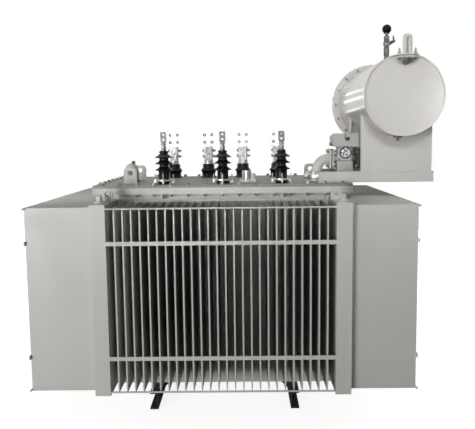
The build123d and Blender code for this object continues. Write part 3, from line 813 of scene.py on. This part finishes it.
bm = bmesh.new()
for x in hvX:
    addClamp(bm, (x, hvY, cover[1].z), hvClamps)
finishPiece("hvClamps", bm, finishes["zinc_metal"], hides=("hv_clamps",))
bm = bmesh.new()
for x in hvX:
    addClampStuds(bm, (x, hvY, cover[1].z), hvClamps)
finishPiece("clampStuds", bm, boltFinish)

# nuts on the terminal stems
stemNuts = {
    "lifts": (0.014, 0.033), "washerR": 0.017, "washerT": 0.003, "hexR": 0.0145, "headH": 0.010,
    "chamfer": 0.0015,
}
bm = bmesh.new()
for x in hvX:
    for lift in stemNuts["lifts"]:
        addBolt(bm, (x, hvY, hvBox[1].z + lift), (0, 0, 1), stemNuts, turn=lift * 20, threadOut=False)
finishPiece("stemNuts", bm, boltFinish)

# pinch bolts through the low-voltage clamps
pinchBolts = {
    "rise": (0.030, 0.068), "clampRise": 0.022, "clampHalf": 0.031, "washerR": 0.011, "washerT": 0.002,
    "hexR": 0.0098, "headH": 0.008, "chamfer": 0.0012, "thread": 0.010, "threadR": 0.006,
}
clampLow = lvBox[1].z + pinchBolts["clampRise"]
bm = bmesh.new()
for x in lvX:
    for lift in pinchBolts["rise"]:
        addBolt(bm, (x + pinchBolts["clampHalf"], lvY, clampLow + lift), (1, 0, 0), pinchBolts)
        addBolt(
            bm, (x - pinchBolts["clampHalf"], lvY, clampLow + lift), (-1, 0, 0), pinchBolts,
            threadOut=False,
        )
finishPiece("pinchBolts", bm, boltFinish)
print("bushings made")


# bolts of the conservator's rear cover
vesselBolts = {
    "count": 16, "ring": 0.244, "washerR": 0.0102, "washerT": 0.0025, "hexR": 0.0086, "headH": 0.008,
    "chamfer": 0.0012, "thread": 0.006, "threadR": 0.006,
}
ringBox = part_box("conservator_rear_flange")
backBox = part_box("conservator_rear_cover")
bm = bmesh.new()
for k in range(vesselBolts["count"]):
    a = math.tau * k / vesselBolts["count"]
    x = vesselX + vesselBolts["ring"] * math.cos(a)
    z = vesselZ + vesselBolts["ring"] * math.sin(a)
    addBolt(bm, (x, ringBox[0].y, z), (0, -1, 0), vesselBolts, turn=a, threadOut=False)
    addBolt(bm, (x, backBox[1].y, z), (0, 1, 0), vesselBolts, turn=a)
finishPiece("vesselBolts", bm, boltFinish)

# flange bolts of the pipe line
pipeBolts = {
    "count": 4, "ring": 0.064, "flangeT": 0.012, "flangeHalf": 0.059, "washerR": 0.0115, "washerT": 0.0025,
    "hexR": 0.0098, "headH": 0.008, "chamfer": 0.0012, "thread": 0.006, "threadR": 0.006,
}
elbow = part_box("elbow_pipe")
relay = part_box("relay_body")
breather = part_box("breather_pipe")
lineY = (elbow[0].y + elbow[1].y) / 2
lineZ = elbow[1].z - pipeBolts["flangeHalf"]
bm = bmesh.new()
for k in range(pipeBolts["count"]):
    a = math.pi / 4 + k * math.tau / pipeBolts["count"]
    y = lineY + pipeBolts["ring"] * math.cos(a)
    z = lineZ + pipeBolts["ring"] * math.sin(a)
    for joint in (elbow[1].x, relay[1].x):
        addBolt(bm, (joint - pipeBolts["flangeT"], y, z), (-1, 0, 0), pipeBolts, turn=a, threadOut=False)
        addBolt(bm, (joint + pipeBolts["flangeT"], y, z), (1, 0, 0), pipeBolts, turn=a)
finishPiece("pipeBolts", bm, boltFinish)

# flange at the foot of the elbow
padFlange = {
    "outer": 0.0836, "inner": 0.031, "low": 0.012, "high": 0.0405, "bolts": 8, "ring": 0.066,
    "rimRound": 0.002, "fromLeft": 0.083, "steps": 64,
}
padCentre = Vector((elbow[0].x + padFlange["fromLeft"], lineY, cover[1].z))
bm = bmesh.new()
corners = (("inner", "low"), ("outer", "low"), ("outer", "high"), ("inner", "high"), ("inner", "low"))
padRing = [(padFlange[r], padFlange[z]) for r, z in corners]
addTurned(bm, padCentre, padRing, padFlange["steps"], padFlange["rimRound"])
for k in range(padFlange["bolts"]):
    a = math.tau * (k + 0.5) / padFlange["bolts"]
    reach = Vector((padFlange["ring"] * math.cos(a), padFlange["ring"] * math.sin(a), padFlange["high"]))
    addBolt(bm, padCentre + reach, (0, 0, 1), pipeBolts, turn=a)
finishPiece("padFlange", bm, finishes["zinc_metal"])

# the two long bolts of the breather flange
breatherBolts = dict(pipeBolts, reach=0.043, flangeTop=0.213, flangeLow=0.193, thread=0.022, back=0.036)
neckX = (breather[0].x + breather[1].x) / 2
neckY = breather[0].y + breatherBolts["back"]
bm = bmesh.new()
for way in (-1, 1):
    x = neckX + way * breatherBolts["reach"]
    addBolt(bm, (x, neckY, vesselZ + breatherBolts["flangeTop"]), (0, 0, 1), breatherBolts)
    addBolt(
        bm, (x, neckY, vesselZ + breatherBolts["flangeLow"]), (0, 0, -1), breatherBolts, threadOut=False,
    )
finishPiece("breatherBolts", bm, boltFinish)
print("flange bolts made")


# filler valve: hexagons, a swollen body and a slanted lever under the round cap
fillerValve = {
    "sink": 0.004, "steps": 28, "rimRound": 0.001, "hexOver": 0.003, "hexChamfer": 0.0025, "hexTurn": 0.3,
    "leverSides": 12,
    "body": (
        (0, 16), (16, 16), (16, 42), (14, 45), (14, 50), (17, 54), (17, 98), (15, 102), (15, 108),
        (17, 132), (17, 160), (15, 168), (9, 170), (9, 178), (0, 178),
    ),
    "hexes": ((0.0, 0.020, 0.0205), (0.108, 0.130, 0.0195)),
    "lever": (
        ((0.008, 0.118), (0.050, 0.140), 0.0115, 0.0085), ((0.044, 0.136), (0.040, 0.168), 0.0065, 0.0045),
    ),
}
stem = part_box("filler_valve")
stemX, stemY = vesselX, (stem[0].y + stem[1].y) / 2
stemLow = vessel[1].z - fillerValve["sink"]
bm = bmesh.new()
stemFoot = (stemX, stemY, stemLow)
addTurned(bm, stemFoot, inMetres(fillerValve["body"]), fillerValve["steps"], fillerValve["rimRound"])
for low, high, radius in fillerValve["hexes"]:
    top = high + fillerValve["hexOver"]
    at = Matrix.Translation(stemFoot)
    addHex(bm, at, low, top, radius, fillerValve["hexChamfer"], turn=fillerValve["hexTurn"])
for near, far, thick, thin in fillerValve["lever"]:
    start, end = (Vector((stemX + x, stemY, stemLow + z)) for x, z in (near, far))
    run = end - start
    addPrism(bm, pointing(start, run), 0.0, run.length, thick, fillerValve["leverSides"], topRadius=thin)
finishPiece("fillerValve", bm, valveFinish, hides=("filler_valve",))
print("filler valve made")


# relay: window ring, corner screws, seals, gland and lid seam
relayTrim = {
    "windowRise": 0.037, "ringR": 0.0325, "ringTube": 0.0038, "screwSpread": 0.037,
    "screwRise": (-0.004, 0.066),
    "sealT": 0.003, "sealOver": 0.0012, "sumpTop": -0.013, "blockTop": 0.074,
    "flangeHalf": 0.0596, "flangeSeal": 0.006, "faceBack": 0.050, "sumpHalf": 0.049, "blockHalf": 0.045,
    "thinRound": 0.0008, "sealRound": 0.001, "seamHalf": 0.0022, "seamProud": 0.001, "seamSunk": 0.004,
    "glandX": 0.012, "glandRise": 0.119, "headHalf": 0.060,
    "seamX": -0.002, "seamLow": 0.113, "seamHigh": 0.151,
}
relayX = (relay[0].x + relay[1].x) / 2
faceY = lineY - relayTrim["faceBack"]
windowY = relay[0].y
bm = bmesh.new()
addRing(
    bm, (relayX, windowY, lineZ + relayTrim["windowRise"]), (0, -1, 0), relayTrim["ringR"],
    relayTrim["ringTube"],
)
for joint in (elbow[1].x, relay[1].x):
    half, wide = relayTrim["flangeSeal"] / 2, relayTrim["flangeHalf"]
    addBlock(
        bm, (joint - half, lineY - wide, lineZ - wide), (joint + half, lineY + wide, lineZ + wide),
        relayTrim["thinRound"], 1,
    )
for top, side in (("sumpTop", "sumpHalf"), ("blockTop", "blockHalf")):
    rise, halfX = relayTrim[top], relayTrim[side]
    over, half = relayTrim["sealOver"], relayTrim["sealT"] / 2
    low = (relayX - halfX - over, faceY - over, lineZ + rise - half)
    high = (relayX + halfX + over, lineY + relayTrim["faceBack"] + over, lineZ + rise + half)
    addBlock(bm, low, high, relayTrim["sealRound"], 1)
headFront = lineY - relayTrim["headHalf"]
seam = relayX + relayTrim["seamX"]
low = (seam - relayTrim["seamHalf"], headFront - relayTrim["seamProud"], lineZ + relayTrim["seamLow"])
high = (seam + relayTrim["seamHalf"], headFront + relayTrim["seamSunk"], lineZ + relayTrim["seamHigh"])
addBlock(bm, low, high, relayTrim["thinRound"], 1)
# gasket of the breather flange, a block with two round ends
neckSeal = {
    "spread": 0.023, "radius": 0.0363, "low": 0.008, "high": 0.0125, "sides": 36, "edgeRound": 0.0004,
}
neckTop = vesselZ + breatherBolts["flangeLow"]
for way in (-1, 1):
    at = Matrix.Translation((neckX + way * neckSeal["spread"], neckY, neckTop))
    addPrism(bm, at, neckSeal["low"], neckSeal["high"], neckSeal["radius"], neckSeal["sides"])
low = (neckX - neckSeal["spread"], neckY - neckSeal["radius"], neckTop + neckSeal["low"])
high = (neckX + neckSeal["spread"], neckY + neckSeal["radius"], neckTop + neckSeal["high"])
addBlock(bm, low, high, neckSeal["edgeRound"], 1)
gland = {"sunk": 0.002, "hexTop": 0.008, "hexR": 0.0130, "top": 0.018, "lowR": 0.0100, "topR": 0.0085}
glandAt = pointing((relayX + relayTrim["glandX"], headFront, lineZ + relayTrim["glandRise"]), (0, -1, 0))
addPrism(bm, glandAt, -gland["sunk"], gland["hexTop"], gland["hexR"], 6)
addPrism(bm, glandAt, gland["hexTop"], gland["top"], gland["lowR"], 16, topRadius=gland["topR"])
finishPiece("relaySeals", bm, rubberFinish)
relayScrews = {
    "washerR": 0.0062, "washerT": 0.001, "hexR": 0.0052, "headH": 0.004, "chamfer": 0.0008, "thread": 0.0,
    "threadR": 0.003,
}
bm = bmesh.new()
for way in (-1, 1):
    for rise in relayTrim["screwRise"]:
        spot = (relayX + way * relayTrim["screwSpread"], faceY, lineZ + rise)
        addBolt(bm, spot, (0, -1, 0), relayScrews, threadOut=False)
sidePlug = {
    "rise": 0.014, "back": -0.030, "washerR": 0.013, "washerT": 0.003, "hexR": 0.0105, "headH": 0.011,
    "chamfer": 0.001,
}
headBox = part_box("relay_head")
plugSpot = (headBox[0].x, lineY + sidePlug["back"], headBox[0].z + sidePlug["rise"])
addBolt(bm, plugSpot, (-1, 0, 0), sidePlug, threadOut=False)
finishPiece("relayScrews", bm, boltFinish)
print("relay trim made")


# dark rims of the low-voltage pad holes and painted rims of the tank lug eyes
padRims = {
    "count": 4, "pitch": 0.236, "spread": 0.025, "middleY": 0.321, "middleZ": 1.546, "halfT": 0.006,
    "ringR": 0.0078, "tube": 0.0034,
}
eyeRims = {"reach": 0.028, "halfT": 0.010, "ringR": 0.0155, "tube": 0.0036}
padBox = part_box("lv_terminals")
padX = (padBox[0].x + padBox[1].x) / 2
bm = bmesh.new()
for k in range(padRims["count"]):
    x = padX + (k - (padRims["count"] - 1) / 2) * padRims["pitch"]
    for across in (-1, 1):
        for up in (-1, 1):
            for face in (-1, 1):
                y = padRims["middleY"] + face * padRims["halfT"]
                z = padRims["middleZ"] + up * padRims["spread"]
                spot = (x + across * padRims["spread"], y, z)
                addRing(bm, spot, (0, face, 0), padRims["ringR"], padRims["tube"], 16, 6)
finishPiece("padRims", bm, valveFinish)
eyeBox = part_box("tank_lugs")
bm = bmesh.new()
for x in (eyeBox[0].x + eyeRims["reach"], eyeBox[1].x - eyeRims["reach"]):
    for y in (eyeBox[0].y + eyeRims["halfT"], eyeBox[1].y - eyeRims["halfT"]):
        for face in (-1, 1):
            spot = (x, y + face * eyeRims["halfT"], eyeBox[1].z - eyeRims["reach"])
            addRing(bm, spot, (0, face, 0), eyeRims["ringR"], eyeRims["tube"], 28, 8)
finishPiece("eyeRims", bm, finishes["grey_paint"])

# relief valve: four bolts through its base and a band round its dome
reliefBolts = dict(
    pipeBolts, ring=0.049, baseT=0.012, washerR=0.0066, hexR=0.0055, headH=0.005, thread=0.003,
    threadR=0.003,
)
reliefBand = {"rise": 0.074, "ringR": 0.0425, "tube": 0.0022, "steps": 40, "sides": 6}
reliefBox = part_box("relief_valve")
reliefX = (reliefBox[0].x + reliefBox[1].x) / 2
reliefY = (reliefBox[0].y + reliefBox[1].y) / 2
bm = bmesh.new()
for k in range(reliefBolts["count"]):
    a = math.pi / 4 + k * math.tau / reliefBolts["count"]
    x = reliefX + reliefBolts["ring"] * math.cos(a)
    y = reliefY + reliefBolts["ring"] * math.sin(a)
    addBolt(bm, (x, y, cover[1].z + reliefBolts["baseT"]), (0, 0, 1), reliefBolts, turn=a)
bandAt = (reliefX, reliefY, cover[1].z + reliefBand["rise"])
addRing(
    bm, bandAt, (0, 0, 1), reliefBand["ringR"], reliefBand["tube"], reliefBand["steps"],
    reliefBand["sides"],
)
finishPiece("reliefBolts", bm, boltFinish)
print("rims and relief valve trim made")


# small welds: cover lugs, supports, vessel ends
weldBeads = {"lug": 0.005, "support": 0.004, "rim": 0.0045, "lugT": 0.016, "lugL": 0.078}
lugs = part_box("cover_lugs")
bm = bmesh.new()
backY = lugs[1].y - weldBeads["lugT"]
rightX = lugs[1].x - weldBeads["lugL"]
for x, y in ((lugs[0].x, lugs[0].y), (lugs[0].x, backY), (rightX, backY)):
    for side in (y, y + weldBeads["lugT"]):
        addWeld(bm, (x, side, cover[1].z), (x + weldBeads["lugL"], side, cover[1].z), weldBeads["lug"])
for name in ("front", "rear"):
    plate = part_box("conservator_support_" + name)
    y = plate[0].y if name == "front" else plate[1].y
    addWeld(bm, (plate[0].x, y, plate[0].z), (plate[1].x, y, plate[0].z), weldBeads["support"])
addRing(bm, (vesselX, ringBox[0].y, vesselZ), (0, 1, 0), vessel[1].z - vesselZ, weldBeads["rim"], 72, 6)
finishPiece("weldBeads", bm, finishes["grey_paint"])
print("welds made")


# stage: pale floor that keeps the shadow, white surroundings
floorSpec = {"size": 60.0, "tone": (0.55, 0.55, 0.55), "glowNear": 0.87, "glowFar": 1.0, "fade": (1.3, 3.2)}
bm = bmesh.new()
bmesh.ops.create_grid(bm, x_segments=1, y_segments=1, size=floorSpec["size"] / 2)
floorMesh = bpy.data.meshes.new("paleFloor")
bm.to_mesh(floorMesh)
bm.free()
floor = bpy.data.objects.new("paleFloor", floorMesh)
scene.collection.objects.link(floor)
paleFloor = bpy.data.materials.new("paleFloor")
paleFloor.use_nodes = True
tree = paleFloor.node_tree
tree.nodes.clear()
ends = putNode(tree, "ShaderNodeOutputMaterial")
matte = putNode(tree, "ShaderNodeBsdfDiffuse", Color=(*floorSpec["tone"], 1.0))
lift = putNode(tree, "ShaderNodeEmission")
reach = putNode(tree, "ShaderNodeVectorMath", operation="LENGTH")
tree.links.new(putNode(tree, "ShaderNodeTexCoord").outputs["Object"], reach.inputs[0])
glow = rangeOn(
    tree, reach.outputs["Value"], *floorSpec["fade"], floorSpec["glowNear"], floorSpec["glowFar"],
)
tree.links.new(glow, lift.inputs["Strength"])
both = putNode(tree, "ShaderNodeAddShader")
tree.links.new(matte.outputs[0], both.inputs[0])
tree.links.new(lift.outputs[0], both.inputs[1])
path = putNode(tree, "ShaderNodeLightPath")
seen = mathOn(tree, "ADD", path.outputs["Is Camera Ray"], path.outputs["Is Transmission Ray"], clamp=True)
pick = putNode(tree, "ShaderNodeMixShader")
tree.links.new(seen, pick.inputs[0])
tree.links.new(matte.outputs[0], pick.inputs[1])
tree.links.new(both.outputs[0], pick.inputs[2])
tree.links.new(pick.outputs[0], ends.inputs["Surface"])
floorMesh.materials.append(paleFloor)

skySpec = {"seen": 1.0, "light": 0.11}
sky = bpy.data.worlds.new("whiteRoom")
scene.world = sky
sky.use_nodes = True
tree = sky.node_tree
tree.nodes.clear()
ends = putNode(tree, "ShaderNodeOutputWorld")
path = putNode(tree, "ShaderNodeLightPath")
shown = putNode(tree, "ShaderNodeBackground", Color=(1, 1, 1, 1), Strength=skySpec["seen"])
soft = putNode(tree, "ShaderNodeBackground", Color=(1, 1, 1, 1), Strength=skySpec["light"])
seen = mathOn(tree, "ADD", path.outputs["Is Camera Ray"], path.outputs["Is Transmission Ray"], clamp=True)
seen = mathOn(tree, "ADD", seen, path.outputs["Is Glossy Ray"], clamp=True)
pick = putNode(tree, "ShaderNodeMixShader")
tree.links.new(seen, pick.inputs[0])
tree.links.new(soft.outputs[0], pick.inputs[1])
tree.links.new(shown.outputs[0], pick.inputs[2])
tree.links.new(pick.outputs[0], ends.inputs["Surface"])

lampSpecs = {
    "keyLeft": {
        "place": (-3.0, -4.2, 0.9), "aim": (-0.3, 0.0, 0.9), "size": 2.0, "watts": 32.0, "spread": 180,
    },
    "keyFar": {
        "place": (-4.4, -8.0, 0.8), "aim": (-0.3, 0.0, 0.9), "size": 3.0, "watts": 420.0, "spread": 180,
    },
    "vesselHigh": {
        "place": (0.2, -4.6, 3.2), "aim": (0.95, -0.2, 1.8), "size": 1.0, "watts": 4.0, "spread": 40,
    },
    "topSoft": {
        "place": (-1.2, 0.2, 5.2), "aim": (0.0, 0.0, 1.0), "size": 3.0, "watts": 16.0, "spread": 180,
    },
    "backSoft": {
        "place": (3.0, 6.5, 1.4), "aim": (0.0, 0.0, 1.0), "size": 3.0, "watts": 150.0, "spread": 180,
    },
    "leftSoft": {
        "place": (-6.0, 3.5, 1.6), "aim": (-0.3, 0.0, 1.0), "size": 3.0, "watts": 100.0, "spread": 180,
    },
    "rightSoft": {
        "place": (5.0, 1.5, 2.6), "aim": (0.3, 0.0, 1.0), "size": 3.0, "watts": 60.0, "spread": 180,
    },
    "stripHigh": {
        "place": (-0.06, 6.5, 2.64), "aim": (0.67, -0.09, 1.77), "size": 0.5, "tall": 0.10,
        "watts": 0.0030, "spread": 12,
    },
    "stripMid": {
        "place": (-0.39, 6.5, 2.15), "aim": (0.67, -0.09, 1.77), "size": 0.5, "tall": 0.14,
        "watts": 0.0055, "spread": 12,
    },
    "stripLow": {
        "place": (-0.39, 6.5, 1.38), "aim": (0.67, -0.09, 1.77), "size": 0.5, "tall": 0.08,
        "watts": 0.0030, "spread": 12,
    },
    "discGlare": {
        "place": (3.03, -6.34, 1.99), "aim": (1.175, -0.475, 1.706), "size": 0.4, "tall": 0.7,
        "watts": 0.32, "spread": 24,
    },
    "bandSoft": {
        "place": (-1.7, -4.6, 1.80), "aim": (-0.20, -0.45, 1.22), "size": 0.5, "watts": 0.40, "spread": 14,
    },
    "finTopLeft": {
        "place": (-1.15, -0.62, 2.1), "aim": (-1.12, -0.05, 1.12), "size": 0.6, "watts": 0.8, "spread": 60,
    },
}
for name, spec in lampSpecs.items():
    lamp = bpy.data.lights.new(name, "AREA")
    lamp.shape = "RECTANGLE"
    lamp.size = spec["size"]
    lamp.size_y = spec.get("tall", spec["size"])
    lamp.energy = spec["watts"]
    lamp.spread = math.radians(spec["spread"])
    stand = bpy.data.objects.new(name, lamp)
    scene.collection.objects.link(stand)
    gaze = Vector(spec["aim"]) - Vector(spec["place"])
    turn = gaze.to_track_quat("-Z", "Y").to_matrix().to_4x4()
    stand.matrix_world = Matrix.Translation(spec["place"]) @ turn
print("stage and lamps set")
